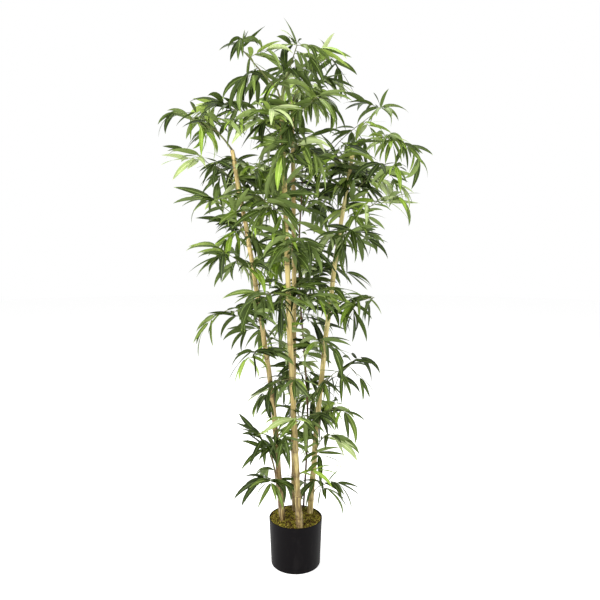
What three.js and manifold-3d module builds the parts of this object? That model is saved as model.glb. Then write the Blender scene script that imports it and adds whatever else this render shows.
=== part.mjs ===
// An artificial bamboo: five natural canes with fabric foliage, set in a round nursery pot.
// Millimetres, +Z up. The origin is the centre of the pot's flat underside, and -Y is the front.
import * as THREE from "three";
import { mergeVertices } from "three/addons/utils/BufferGeometryUtils.js";
import Module from "manifold-3d";

const wasm = await Module();
wasm.setup();

// ---- Driving dimensions ----

const gap = 0.3; // air left between pieces that touch
const leafGap = 0.6; // air left between masses of foliage, and round the boughs

const pot = {
  height: 165,
  rimRadius: 93, // outside, at the top
  footRadius: 86,
  wall: 2.2,
  edge: 0.8, // chamfer round the rim
  floor: 3,
  heel: 3.5, // chamfer round the foot
  sides: 44,
};
const fill = { top: 138, sides: 24 };
const moss = { edge: 160, crown: 167, lump: 3.5, sides: 24, bands: 3 };
const footSlack = 0.2; // how much more room fill and moss have at the foot than at the top

// Each cane leaves the fill at its foot and leans out to its tip.
const canes = {
  left: {
    foot: 10,
    tip: 6.5,
    path: [[-44, -28], [-72, -48, 520], [-108, -66, 830], [-138, -76, 1030], [-203, -90, 1416]],
  },
  front: {
    foot: 11,
    tip: 6.5,
    path: [[15, -73], [-6, -78, 520], [-26, -96, 1000], [-44, -112, 1565]],
  },
  back: {
    foot: 10.5,
    tip: 6.5,
    path: [[-3, 42], [-9, 62, 520], [-6, 84, 940], [-12, 112, 1620]],
  },
  right: {
    foot: 10.5,
    tip: 6.5,
    path: [[48, 22], [78, 40, 510], [112, 54, 840], [154, 68, 1160], [204, 82, 1460]],
  },
  slim: {
    foot: 3.6,
    tip: 2.8,
    path: [[27, 66], [44, 112, 500], [12, 164, 1030], [24, 200, 1355]],
  },
  stem: {
    foot: 4,
    tip: 2.5,
    path: [[-52, -3], [-68, -14, 310], [-90, -26, 430]],
  },
};
const caneFlare = 0.12; // how much wider a cane is where it is cut at its foot
const caneSides = 9;
const caneStep = 95; // length of one straight stretch of a cane
const levelled = 0.5; // corners this near the fill's top, in foot radii, are cut level with it

// A bough carries on from a cane's tip to the mass with this name.
const boughs = ["top_left", "top_middle", "top_right", "far_left", "far_right"];
const bough = {
  foot: 3.5,
  tip: 2.2,
  sides: 8,
  steps: 7,
  bendAt: 0.45, // how far along it rises most
  lift: 0.28, // and how far that pulls it up, for each millimetre of its span
};

// A mass of foliage hangs from a cane: the height of its hub, how far to the right and to the back
// of the cane that is, and how far its lobes reach. A crest stands up from the middle of some.
const masses = {
  top_left: { cane: "front", up: 1705, right: -120, back: -10, reach: 110, crest: 52 },
  top_middle: { cane: "front", up: 1725, right: 48, back: 50, reach: 100, crest: 52 },
  top_right: { cane: "back", up: 1770, right: 125, back: -45, reach: 112, crest: 30 },
  top_back: { cane: "back", up: 1710, right: 55, back: 90, reach: 122, crest: 40 },
  far_left: { cane: "left", up: 1520, right: -138, back: 0, reach: 105 },
  upper_left: { cane: "left", up: 1575, right: -40, back: 60, reach: 106 },
  upper_front_left: { cane: "front", up: 1520, right: -65, back: -80, reach: 98 },
  upper_front: { cane: "front", up: 1560, right: 100, back: -50, reach: 105 },
  upper_right: { cane: "right", up: 1595, right: 88, back: -20, reach: 108, crest: 30 },
  far_right: { cane: "right", up: 1470, right: 180, back: -25, reach: 108 },
  outer_right: { cane: "right", up: 1370, right: 145, back: -90, reach: 112 },
  upper_back: { cane: "slim", up: 1525, right: 5, back: 85, reach: 130 },
  outer_left: { cane: "left", up: 1395, right: -110, back: 65, reach: 112 },
  inner_left: { cane: "left", up: 1400, right: 30, back: 120, reach: 102 },
  front_middle: { cane: "front", up: 1410, right: 45, back: -110, reach: 105 },
  inner_right: { cane: "right", up: 1410, right: -60, back: -60, reach: 104 },
  back_left: { cane: "back", up: 1410, right: -85, back: 135, reach: 128 },
  back_right: { cane: "right", up: 1405, right: 45, back: 145, reach: 125 },
  left_1: { cane: "left", up: 1258, right: -90, back: -50, reach: 104 },
  right_1: { cane: "right", up: 1280, right: 118, back: -25, reach: 110 },
  front_1: { cane: "front", up: 1245, right: -65, back: -105, reach: 104 },
  back_1: { cane: "slim", up: 1295, right: 75, back: 85, reach: 125 },
  left_2: { cane: "left", up: 1175, right: -55, back: 135, reach: 112 },
  left_3: { cane: "left", up: 1090, right: -80, back: -15, reach: 94 },
  right_2: { cane: "right", up: 1160, right: 45, back: -115, reach: 104 },
  front_2: { cane: "front", up: 1140, right: 35, back: -105, reach: 104 },
  back_2: { cane: "back", up: 1095, right: -75, back: 135, reach: 118 },
  right_3: { cane: "right", up: 1040, right: -5, back: 140, reach: 106 },
  left_4: { cane: "left", up: 905, right: -125, back: -35, reach: 94 },
  front_3: { cane: "front", up: 970, right: -65, back: -85, reach: 98 },
  right_4: { cane: "right", up: 940, right: 165, back: -15, reach: 104 },
  right_5: { cane: "right", up: 955, right: -50, back: -105, reach: 90 },
  back_3: { cane: "slim", up: 865, right: 5, back: 110, reach: 115 },
  left_5: { cane: "left", up: 825, right: -5, back: 90, reach: 98 },
  right_6: { cane: "right", up: 805, right: -20, back: -85, reach: 88 },
  left_6: { cane: "left", up: 755, right: -52, back: -65, reach: 80 },
  right_7: { cane: "right", up: 700, right: 95, back: -25, reach: 88 },
  back_4: { cane: "back", up: 670, right: 10, back: 110, reach: 108 },
  front_4: { cane: "front", up: 675, right: -50, back: -45, reach: 82 },
  right_8: { cane: "right", up: 555, right: 60, back: -40, reach: 84 },
  back_5: { cane: "slim", up: 545, right: 20, back: 80, reach: 98 },
  front_5: { cane: "front", up: 550, right: 20, back: -65, reach: 80 },
  low_left: { cane: "stem", up: 485, right: -38, back: -25, reach: 76 },
  low_right: { cane: "right", up: 455, right: 20, back: -55, reach: 72 },
  foot_left: { cane: "left", up: 315, right: -30, back: -10, reach: 52 },
  foot_right: { cane: "right", up: 285, right: 40, back: -25, reach: 72 },
};
const climb = 0.75; // a mass's twig leaves its cane this much lower, for each millimetre out
const lobes = 7;
const shellBands = 5;
const notch = 0.64; // how far out the shell reaches between two lobes
const droop = 1.05; // how far a lobe's tip hangs below the hub, for each millimetre out
const plump = 0.24; // how far the shell stands above its hub, for each millimetre of reach
const belly = 0.34; // how far it hangs below its hub
const uneven = 0.5; // how much the lobes differ
const shortened = 0.1; // the part of that by which they are all the shorter
const splay = 0.3; // how far a lobe may turn from its even place, in radians
const topOfBall = 0.99; // only the top corner of a ball with a radius of 1 is above this
const pushRounds = 12; // passes that swollen() makes over the faces round a corner
const halvings = 24; // steps in the search for a height on a cane
const noise = { seed: 12.9898, index: 78.233, swing: 4375.5453 }; // what vary() mixes with

const paints = {
  pot: [0x1b1b1c, 0.55],
  fill: [0x77736b, 0.95],
  moss: [0x5d5a20, 0.95],
  cane: [0xc9a873, 0.6],
  stem: [0x6f7a35, 0.65],
  foliage: [0x3f5a26, 0.7],
};

// ---- Helpers ----

function vary(seed, index) {
  // A repeatable number from -0.5 to 0.5.
  const wave = Math.sin(seed * noise.seed + index * noise.index) * noise.swing;
  return wave - Math.floor(wave) - 0.5;
}

function welded(geometry) {
  geometry.deleteAttribute("normal");
  geometry.deleteAttribute("uv");
  return mergeVertices(geometry, 0.001);
}

function toSolid(geometry) {
  return new wasm.Manifold(new wasm.Mesh({
    numProp: 3,
    vertProperties: new Float32Array(geometry.attributes.position.array),
    triVerts: new Uint32Array(geometry.index.array),
  }));
}

function toGeometry(solid) {
  const mesh = solid.getMesh();
  const geometry = new THREE.BufferGeometry();
  geometry.setAttribute("position", new THREE.BufferAttribute(new Float32Array(mesh.vertProperties), 3));
  geometry.setIndex(new THREE.BufferAttribute(new Uint32Array(mesh.triVerts), 1));
  return geometry;
}

function largestBody(solid) {
  const bodies = solid.decompose();
  bodies.sort((a, b) => b.volume() - a.volume());
  return bodies[0];
}

function swollen(geometry, by) {
  // Every corner moved out until each face round it has moved out by that much.
  const index = geometry.index.array;
  const place = geometry.attributes.position;
  const corners = Array.from({ length: place.count }, (_, i) => (
    new THREE.Vector3().fromBufferAttribute(place, i)
  ));
  const normals = corners.map(() => []);
  for (let i = 0; i < index.length; i += 3) {
    const triangle = new THREE.Triangle(corners[index[i]], corners[index[i + 1]], corners[index[i + 2]]);
    const normal = triangle.getNormal(new THREE.Vector3());
    normals[index[i]].push(normal);
    normals[index[i + 1]].push(normal);
    normals[index[i + 2]].push(normal);
  }
  const copy = geometry.clone();
  corners.forEach((corner, i) => {
    const shift = new THREE.Vector3();
    for (let round = 0; round < pushRounds; round += 1) {
      for (const normal of normals[i]) {
        shift.addScaledVector(normal, Math.max(0, by - shift.dot(normal)));
      }
    }
    shift.add(corner);
    copy.attributes.position.setXYZ(i, shift.x, shift.y, shift.z);
  });
  return copy;
}

function boxesMeet(a, b) {
  return a.boundingBox().min.every((low, i) => low < b.boundingBox().max[i])
    && b.boundingBox().min.every((low, i) => low < a.boundingBox().max[i]);
}

function cutRound(solid, neighbours) {
  let left = solid;
  for (const other of neighbours) {
    if (boxesMeet(left, other)) {
      left = left.subtract(other);
    }
  }
  return largestBody(left);
}

function named(name, geometry, paint) {
  const [color, roughness] = paint;
  const material = new THREE.MeshStandardMaterial({ color, roughness, metalness: 0 });
  const mesh = new THREE.Mesh(geometry, material);
  mesh.name = name;
  return mesh;
}

// ---- Limbs ----

function limb(curve, radiusAt, sides, steps) {
  // A round tube with flat ends, bent along a curve and tapering along it.
  const tube = new THREE.CylinderGeometry(1, 1, 1, sides, steps);
  const place = tube.attributes.position;
  const chord = curve.getPoint(1).sub(curve.getPoint(0));
  const isSteep = Math.abs(chord.x) < Math.abs(chord.z);
  const reference = isSteep ? new THREE.Vector3(1, 0, 0) : new THREE.Vector3(0, 0, 1);
  for (let i = 0; i < place.count; i += 1) {
    const along = place.getY(i) + 0.5;
    const tangent = curve.getTangentAt(along);
    const second = new THREE.Vector3().crossVectors(reference, tangent).normalize();
    const first = new THREE.Vector3().crossVectors(tangent, second);
    const point = curve.getPointAt(along);
    point.addScaledVector(first, place.getX(i) * radiusAt(along));
    point.addScaledVector(second, place.getZ(i) * radiusAt(along));
    place.setXYZ(i, point.x, point.y, point.z);
  }
  return welded(tube);
}

function caneCurve(cane) {
  const points = cane.path.map(([x, y, z = fill.top + gap]) => new THREE.Vector3(x, y, z));
  return new THREE.CatmullRomCurve3(points, false, "centripetal");
}

function caneGeometry(cane) {
  const curve = caneCurve(cane);
  const steps = Math.round(curve.getLength() / caneStep);
  const flareAt = (t) => cane.foot * caneFlare * Math.max(0, 1 - t * steps);
  const radiusAt = (t) => cane.foot + (cane.tip - cane.foot) * t + flareAt(t);
  const geometry = limb(curve, radiusAt, caneSides, steps);
  const place = geometry.attributes.position;
  for (let i = 0; i < place.count; i += 1) {
    if (Math.abs(place.getZ(i) - fill.top) < cane.foot * levelled) {
      place.setZ(i, fill.top + gap);
    }
  }
  return geometry;
}

function pointAtHeight(curve, height) {
  // Where a cane passes a height, or its tip if it ends lower.
  let low = 0;
  let high = 1;
  for (let i = 0; i < halvings; i += 1) {
    const middle = (low + high) / 2;
    if (curve.getPoint(middle).z < height) {
      low = middle;
    } else {
      high = middle;
    }
  }
  return curve.getPoint(high);
}

// ---- Foliage ----

function hubOf(mass) {
  const out = Math.hypot(mass.right, mass.back);
  const root = pointAtHeight(caneCurve(canes[mass.cane]), mass.up - climb * out);
  return new THREE.Vector3(root.x + mass.right, root.y + mass.back, mass.up);
}

function massGeometry(mass, seed) {
  // A lobed shell like a drooping hand: thick at the hub, with its lobes hanging to points.
  const hub = hubOf(mass);
  const shell = new THREE.SphereGeometry(1, 2 * lobes, shellBands);
  const place = shell.attributes.position;
  for (let i = 0; i < place.count; i += 1) {
    const upward = place.getY(i);
    const outward = Math.hypot(place.getX(i), place.getZ(i));
    const evenAngle = Math.atan2(-place.getZ(i), place.getX(i));
    const spoke = (Math.round(evenAngle * lobes / Math.PI) + 2 * lobes) % (2 * lobes);
    const angle = evenAngle + seed + splay * vary(seed, spoke + 20);
    const share = spoke % 2 === 0 ? 1 : notch;
    const length = mass.reach * share * (1 + uneven * (vary(seed, spoke) - shortened));
    const hang = droop * length * (1 + uneven * vary(seed, spoke + 40)) * outward ** 2;
    const thick = mass.reach * upward * (upward > 0 ? plump : belly);
    const lift = upward > topOfBall ? mass.crest ?? 0 : 0;
    place.setXYZ(
      i,
      hub.x + length * outward * Math.cos(angle),
      hub.y + length * outward * Math.sin(angle),
      hub.z + thick + lift - hang,
    );
  }
  return welded(shell);
}

function boughGeometry(mass) {
  const curve = caneCurve(canes[mass.cane]);
  const tip = curve.getPoint(1);
  const hub = hubOf(mass);
  const start = tip.clone().addScaledVector(curve.getTangent(1), gap);
  const bend = tip.clone().lerp(hub, bough.bendAt);
  bend.z += bough.lift * tip.distanceTo(hub);
  const path = new THREE.QuadraticBezierCurve3(start, bend, hub);
  const radiusAt = (t) => bough.foot + (bough.tip - bough.foot) * t;
  return limb(path, radiusAt, bough.sides, bough.steps);
}

// ---- Pot, fill and moss ----

function turnedSolid(outline, sides) {
  const points = outline.map(([r, z]) => new THREE.Vector2(r, z));
  return welded(new THREE.LatheGeometry(points, sides).rotateX(Math.PI / 2));
}

function potGeometry() {
  return turnedSolid([
    [0, 0],
    [pot.footRadius - pot.heel, 0],
    [pot.footRadius, pot.heel],
    [pot.rimRadius, pot.height - pot.edge],
    [pot.rimRadius - pot.edge, pot.height],
    [pot.rimRadius - pot.wall, pot.height],
    [pot.footRadius - pot.wall, pot.floor],
    [0, pot.floor],
  ], pot.sides);
}

function innerRadius(z) {
  // How wide a piece inside the pot may be at a height, clear of the flats of its wall.
  const share = (z - pot.floor) / (pot.height - pot.floor);
  const wallRadius = pot.footRadius + (pot.rimRadius - pot.footRadius) * share - pot.wall;
  return wallRadius * Math.cos(Math.PI / pot.sides) - gap;
}

function fillGeometry() {
  const bottom = pot.floor + gap;
  return turnedSolid([
    [0, bottom],
    [innerRadius(bottom) - footSlack, bottom],
    [innerRadius(fill.top), fill.top],
    [0, fill.top],
  ], fill.sides);
}

function mossGeometry() {
  // A low mound with a lumpy top.
  const bottom = fill.top + 2 * gap;
  const outline = [[0, bottom], [innerRadius(bottom) - footSlack, bottom]];
  for (let band = 0; band <= moss.bands; band += 1) {
    const across = 1 - band / moss.bands;
    const height = moss.edge + (moss.crown - moss.edge) * (1 - across ** 2);
    outline.push([innerRadius(moss.edge) * across, height]);
  }
  const geometry = turnedSolid(outline, moss.sides);
  const place = geometry.attributes.position;
  for (let i = 0; i < place.count; i += 1) {
    if (place.getZ(i) > moss.edge + gap) {
      place.setZ(i, place.getZ(i) + moss.lump * vary(7, i));
    }
  }
  return geometry;
}

// ---- Assembly ----

const group = new THREE.Group();
group.name = "potted_bamboo";

const caneShapes = Object.entries(canes).map(([name, cane]) => [name, caneGeometry(cane)]);
const caneCutters = caneShapes.map(([, shape]) => toSolid(swollen(shape, gap)));

group.add(named("pot", potGeometry(), paints.pot));
group.add(named("fill", fillGeometry(), paints.fill));
group.add(named("moss_bed", toGeometry(cutRound(toSolid(mossGeometry()), caneCutters)), paints.moss));
for (const [name, shape] of caneShapes) {
  const label = name === "stem" ? "stem_left" : `cane_${name}`;
  group.add(named(label, shape, name === "stem" ? paints.stem : paints.cane));
}

const massShapes = Object.entries(masses).map(([name, mass], i) => [name, massGeometry(mass, i + 1)]);
const massCutters = [];
for (const [name, shape] of massShapes) {
  const mass = cutRound(toSolid(shape), [...caneCutters, ...massCutters]);
  massCutters.push(toSolid(swollen(shape, leafGap)));
  group.add(named(`foliage_${name}`, toGeometry(mass), paints.foliage));
}
const boughCutters = [];
for (const name of boughs) {
  const shape = boughGeometry(masses[name]);
  const solid = cutRound(toSolid(shape), [...caneCutters, ...massCutters, ...boughCutters]);
  boughCutters.push(toSolid(swollen(shape, gap)));
  group.add(named(`bough_${name}`, toGeometry(solid), paints.stem));
}

export default group;
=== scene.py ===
# Looks for an artificial bamboo: natural canes, fabric leaves, dry moss and a plain nursery pot.
import math
import random
from itertools import combinations

import bpy
import numpy as np
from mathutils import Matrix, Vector, noise


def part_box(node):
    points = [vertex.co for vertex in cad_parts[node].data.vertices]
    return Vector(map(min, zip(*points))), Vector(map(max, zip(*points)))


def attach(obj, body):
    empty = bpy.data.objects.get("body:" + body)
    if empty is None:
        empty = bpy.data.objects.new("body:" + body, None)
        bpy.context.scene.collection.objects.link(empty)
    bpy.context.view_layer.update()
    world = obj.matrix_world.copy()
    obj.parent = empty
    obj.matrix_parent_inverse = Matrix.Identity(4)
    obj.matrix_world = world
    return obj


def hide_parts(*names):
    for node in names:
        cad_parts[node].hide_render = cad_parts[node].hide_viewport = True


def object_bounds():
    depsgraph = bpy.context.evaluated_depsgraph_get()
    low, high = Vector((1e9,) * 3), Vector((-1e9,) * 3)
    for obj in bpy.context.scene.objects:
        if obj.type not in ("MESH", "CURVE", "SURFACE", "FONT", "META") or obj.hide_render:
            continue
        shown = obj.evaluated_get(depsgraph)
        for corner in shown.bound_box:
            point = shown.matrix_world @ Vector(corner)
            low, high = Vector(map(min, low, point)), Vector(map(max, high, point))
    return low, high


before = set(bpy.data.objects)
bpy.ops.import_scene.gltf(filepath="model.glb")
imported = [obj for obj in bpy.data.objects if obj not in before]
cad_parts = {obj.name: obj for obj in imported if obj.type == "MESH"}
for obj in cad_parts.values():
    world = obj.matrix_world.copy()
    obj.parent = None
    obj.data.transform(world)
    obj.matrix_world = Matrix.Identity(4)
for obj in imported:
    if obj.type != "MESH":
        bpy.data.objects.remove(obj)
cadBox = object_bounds()
print("frame loaded:", len(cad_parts), "nodes")

millimetre = 0.001


def paint(red, green, blue):
    # a paint chart colour, 0 to 255, as the linear colour that shaders take
    linear = []
    for part in (red, green, blue):
        share = part / 255
        linear.append(share / 12.92 if share <= 0.04045 else ((share + 0.055) / 1.055) ** 2.4)
    return (*linear, 1.0)


# camera, light and floor

cameraSetup = {
    "place": (0.0, -1.929, 1.081),
    "tiltDown": 4.49,  # degrees
    "lens": 33.96,
    "shift": 0.0072,
}

lampSetup = {
    # name: place, aimed at, width, height, power, colour
    "keyLamp": ((-1.7, -2.2, 2.6), (0, 0, 1.1), 1.1, 1.1, 104, (1.0, 0.985, 0.95)),
    "fillLamp": ((2.0, -1.7, 1.5), (0, 0, 0.9), 1.1, 2.4, 34, (1.0, 0.995, 0.98)),
    "leftStrip": ((-2.2, -0.5, 0.9), (0, 0, 0.7), 0.5, 2.2, 20, (1.0, 1.0, 1.0)),
    "topLamp": ((0.2, 0.6, 3.4), (0, 0, 1.2), 2.2, 2.2, 60, (1.0, 1.0, 1.0)),
}

floorSetup = {
    "radius": 14.0,
    "sides": 96,
    "below": 0.5 * millimetre,  # so that the pot's foot stays clear of it
    "colour": (0.93, 0.93, 0.93, 1.0),
    "glow": 0.52,
    "skyLight": 0.5,
    "skyShown": 1.0,
}


def makeCamera():
    data = bpy.data.cameras.new("camera")
    data.lens = cameraSetup["lens"]
    data.sensor_width = 36.0
    data.shift_x = cameraSetup["shift"]
    camera = bpy.data.objects.new("camera", data)
    camera.location = cameraSetup["place"]
    camera.rotation_euler = (math.radians(90 - cameraSetup["tiltDown"]), 0, 0)
    bpy.context.scene.collection.objects.link(camera)
    bpy.context.scene.camera = camera


def makeLamps():
    for name, (place, target, width, height, power, colour) in lampSetup.items():
        data = bpy.data.lights.new(name, "AREA")
        data.shape = "RECTANGLE"
        data.size = width
        data.size_y = height
        data.energy = power
        data.color = colour
        lamp = bpy.data.objects.new(name, data)
        lamp.location = place
        heading = Vector(target) - lamp.location
        lamp.rotation_euler = heading.to_track_quat("-Z", "Y").to_euler()
        bpy.context.scene.collection.objects.link(lamp)


def makeSky():
    world = bpy.data.worlds.new("sky")
    world.use_nodes = True
    tree = world.node_tree
    white = (1, 1, 1, 1)
    shown = putNode(tree, "Background", inputs={
        "Color": white, "Strength": floorSetup["skyShown"],
    })
    light = putNode(tree, "Background", inputs={
        "Color": white, "Strength": floorSetup["skyLight"],
    })
    rays = putNode(tree, "LightPath")
    mix = putNode(tree, "MixShader", inputs={
        0: rays.outputs["Is Camera Ray"], 1: light.outputs[0], 2: shown.outputs[0],
    })
    output = tree.nodes.get("World Output") or tree.nodes.new("ShaderNodeOutputWorld")
    tree.links.new(mix.outputs[0], output.inputs["Surface"])
    bpy.context.scene.world = world


def makeFloor():
    sides, radius = floorSetup["sides"], floorSetup["radius"]
    angles = [k * math.tau / sides for k in range(sides)]
    rim = [(radius * math.cos(a), radius * math.sin(a), -floorSetup["below"]) for a in angles]
    mesh = bpy.data.meshes.new("floor")
    mesh.from_pydata(rim, [], [list(range(sides))])
    floor = bpy.data.objects.new("floor", mesh)
    bpy.context.scene.collection.objects.link(floor)
    material, tree, shader = newMaterial("paleFloor", 0.9, 0.1)
    shader.inputs["Base Color"].default_value = floorSetup["colour"]
    shader.inputs["Emission Color"].default_value = (1, 1, 1, 1)
    shader.inputs["Emission Strength"].default_value = floorSetup["glow"]
    mesh.materials.append(material)


# shader building blocks

def putNode(tree, kind, settings=None, inputs=None):
    node = tree.nodes.new("ShaderNode" + kind)
    for key, value in (settings or {}).items():
        setattr(node, key, value)
    for key, value in (inputs or {}).items():
        if isinstance(value, bpy.types.NodeSocket):
            tree.links.new(value, node.inputs[key])
        else:
            node.inputs[key].default_value = value
    return node


def newGroup(name, inputs, outputs):
    # inputs and outputs give each socket's kind
    tree = bpy.data.node_groups.new(name, "ShaderNodeTree")
    for side, sockets in (("INPUT", inputs), ("OUTPUT", outputs)):
        for label, kind in sockets.items():
            tree.interface.new_socket(name=label, in_out=side, socket_type="NodeSocket" + kind)
    given = tree.nodes.new("NodeGroupInput").outputs
    return tree, given, tree.nodes.new("NodeGroupOutput").inputs


def newMaterial(name, roughness, specular):
    material = bpy.data.materials.new(name)
    material.use_nodes = True
    tree = material.node_tree
    shader = tree.nodes["Principled BSDF"]
    shader.inputs["Roughness"].default_value = roughness
    shader.inputs["Specular IOR Level"].default_value = specular
    return material, tree, shader


def blendNode(tree, factor, first, second, mode="MIX"):
    # a colour mix; sockets 0, 6 and 7 are its factor and its two colours
    node = putNode(tree, "Mix", {"data_type": "RGBA", "blend_type": mode}, {
        0: factor, 6: first, 7: second,
    })
    return node.outputs[2]


def meshValue(tree, name):
    return putNode(tree, "Attribute", {"attribute_name": name}).outputs["Fac"]


def mathNode(tree, operation, first, second=0.0):
    return putNode(tree, "Math", {"operation": operation}, {0: first, 1: second}).outputs[0]


def stretchedPlace(tree, stretch):
    # where a point lies on its own piece, stretched by a socket's three numbers
    place = putNode(tree, "TexCoord").outputs["Object"]
    return putNode(tree, "VectorMath", {"operation": "MULTIPLY"}, {
        0: place, 1: stretch,
    }).outputs[0]


def makeUnevenTone():
    # two colours in soft patches, or in streaks where the stretch is uneven
    tree, given, result = newGroup(
        "unevenTone",
        {
            "Light": "Color", "Dark": "Color", "Stretch": "Vector",
            "Scale": "Float", "Balance": "Float", "Softness": "Float",
        },
        {"Color": "Color", "Mask": "Float"},
    )
    stretched = stretchedPlace(tree, given["Stretch"])
    cloud = putNode(tree, "TexNoise", None, {
        "Vector": stretched, "Scale": given["Scale"], "Detail": 4.0, "Roughness": 0.6,
    })
    low = mathNode(tree, "SUBTRACT", given["Balance"], given["Softness"])
    high = mathNode(tree, "ADD", given["Balance"], given["Softness"])
    mask = putNode(tree, "MapRange", None, {
        "Value": cloud.outputs["Fac"], "From Min": low, "From Max": high,
    })
    tree.links.new(mask.outputs[0], result["Mask"])
    tree.links.new(blendNode(tree, mask.outputs[0], given["Light"], given["Dark"]), result["Color"])
    return tree


def makeFineGrain():
    # a height for bump: fine grain over broader unevenness
    tree, given, result = newGroup(
        "fineGrain",
        {"Stretch": "Vector", "Fine": "Float", "Broad": "Float", "Share": "Float"},
        {"Height": "Float"},
    )
    stretched = stretchedPlace(tree, given["Stretch"])
    fine = putNode(tree, "TexNoise", None, {
        "Vector": stretched, "Scale": given["Fine"], "Detail": 3.0,
    })
    broad = putNode(tree, "TexNoise", None, {
        "Vector": stretched, "Scale": given["Broad"], "Detail": 2.0,
    })
    mixed = putNode(tree, "Mix", {"data_type": "FLOAT"}, {
        0: given["Share"], 2: fine.outputs["Fac"], 3: broad.outputs["Fac"],
    })
    tree.links.new(mixed.outputs[0], result["Height"])
    return tree


def makeLeafVeins():
    # fine lines that run the length of a leaf, from the position across it
    sockets = {"Count": "Float", "Wander": "Float"}
    tree, given, result = newGroup("leafVeins", sockets, {"Mask": "Float"})
    across = meshValue(tree, "across")
    place = putNode(tree, "TexCoord").outputs["Object"]
    cloud = putNode(tree, "TexNoise", None, {"Vector": place, "Scale": 90.0, "Detail": 1.0})
    wander = mathNode(tree, "MULTIPLY", cloud.outputs["Fac"], given["Wander"])
    turns = mathNode(tree, "MULTIPLY", given["Count"], math.pi)
    phase = mathNode(tree, "MULTIPLY", mathNode(tree, "ADD", across, wander), turns)
    wave = mathNode(tree, "SINE", phase)
    half = mathNode(tree, "MULTIPLY", mathNode(tree, "ADD", wave, 1.0), 0.5)
    tree.links.new(half, result["Mask"])
    return tree


unevenTone = makeUnevenTone()
fineGrain = makeFineGrain()
leafVeins = makeLeafVeins()


def toneNode(tree, light, dark, stretch, scale, balance, softness):
    return putNode(tree, "Group", {"node_tree": unevenTone}, {
        "Light": light, "Dark": dark, "Stretch": stretch,
        "Scale": scale, "Balance": balance, "Softness": softness,
    })


def addBump(tree, shader, strength, distance, fine, broad, share=0.5, stretch=(1, 1, 1)):
    grain = putNode(tree, "Group", {"node_tree": fineGrain}, {
        "Stretch": stretch, "Fine": fine, "Broad": broad, "Share": share,
    })
    bump = putNode(tree, "Bump", None, {
        "Strength": strength, "Distance": distance, "Height": grain.outputs["Height"],
    })
    tree.links.new(bump.outputs["Normal"], shader.inputs["Normal"])
    return grain.outputs["Height"]


def addRoughness(tree, shader, mask, low, high):
    spread = putNode(tree, "MapRange", None, {"Value": mask, "To Min": low, "To Max": high})
    tree.links.new(spread.outputs[0], shader.inputs["Roughness"])


def mottled(name, roughness, specular, light, dark, patches, grain, gloss=None):
    # a material in two soft tones; patches, grain and gloss are what toneNode,
    # addBump and addRoughness take
    material, tree, shader = newMaterial(name, roughness, specular)
    tone = toneNode(tree, light, dark, *patches)
    tree.links.new(tone.outputs["Color"], shader.inputs["Base Color"])
    height = addBump(tree, shader, *grain)
    if gloss:
        addRoughness(tree, shader, height, *gloss)
    return material


# mesh helpers

def newHeap():
    return {"vertices": [], "faces": [], "shades": []}


def pile(heap, vertices, faces, shades=None):
    # adds one small mesh to a heap that becomes one piece
    start = len(heap["vertices"])
    heap["vertices"].extend(np.asarray(vertices).tolist())
    heap["faces"].extend([[start + k for k in face] for face in faces])
    heap["shades"].extend([0.0] * len(vertices) if shades is None else list(shades))


def makePiece(name, vertices, faces, materials, slots=None, values=None, smooth=True):
    mesh = bpy.data.meshes.new(name)
    mesh.from_pydata(vertices, [], faces)
    for material in materials:
        mesh.materials.append(material)
    if slots is not None:
        mesh.polygons.foreach_set("material_index", np.asarray(slots, np.int32))
    mesh.polygons.foreach_set("use_smooth", np.full(len(mesh.polygons), smooth))
    for label, numbers in (values or {}).items():
        layer = mesh.attributes.new(label, "FLOAT", "POINT")
        layer.data.foreach_set("value", np.asarray(numbers, np.float32))
    mesh.update()
    piece = bpy.data.objects.new(name, mesh)
    bpy.context.scene.collection.objects.link(piece)
    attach(piece, "root")
    return piece


def unit(vectors):
    vectors = np.asarray(vectors, float)
    return vectors / np.maximum(np.linalg.norm(vectors, axis=-1, keepdims=True), 1e-12)


def resample(points, count):
    # an even run of points along a smooth curve through the given ones
    points = np.asarray(points, float)
    ends = np.vstack([2 * points[0] - points[1], points, 2 * points[-1] - points[-2]])
    shares = np.linspace(0, 1, 10, endpoint=False)[:, None]
    fine = []
    for i in range(1, len(ends) - 2):
        a, b, c, d = ends[i - 1:i + 3]
        square = (2 * a - 5 * b + 4 * c - d) * shares ** 2
        cubic = (3 * b - 3 * c + d - a) * shares ** 3
        fine.append(0.5 * (2 * b + (c - a) * shares + square + cubic))
    fine = np.vstack([*fine, points[-1:]])
    lengths = np.concatenate([[0], np.cumsum(np.linalg.norm(np.diff(fine, axis=0), axis=1))])
    even = np.linspace(0, lengths[-1], count)
    return np.column_stack([np.interp(even, lengths, fine[:, k]) for k in range(3)])


def tube(path, radii, sides):
    # a round limb along a path, closed at both ends; radii is one number a ring, or one a vertex
    path = np.asarray(path, float)
    tangents = unit(np.gradient(path, axis=0))
    first = np.cross(tangents[0], (0.31, 0.95, 0.02))
    firsts = []
    for tangent in tangents:
        first = unit(first - tangent * first.dot(tangent))
        firsts.append(first)
    firsts = np.array(firsts)[:, None]
    seconds = np.cross(tangents[:, None], firsts)
    angles = np.arange(sides) * math.tau / sides
    radii = np.asarray(radii, float)
    radii = radii[:, :, None] if radii.ndim == 2 else radii[:, None, None]
    rings = path[:, None] + radii * (np.cos(angles)[:, None] * firsts + np.sin(angles)[:, None] * seconds)
    faces = []
    for i in range(len(path) - 1):
        for j in range(sides):
            k = (j + 1) % sides
            faces.append([i * sides + j, i * sides + k, (i + 1) * sides + k, (i + 1) * sides + j])
    last = (len(path) - 1) * sides
    count = len(path) * sides
    faces.extend([count, (j + 1) % sides, j] for j in range(sides))
    faces.extend([count + 1, last + j, last + (j + 1) % sides] for j in range(sides))
    return np.vstack([rings.reshape(-1, 3), path[:1], path[-1:]]), faces


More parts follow.
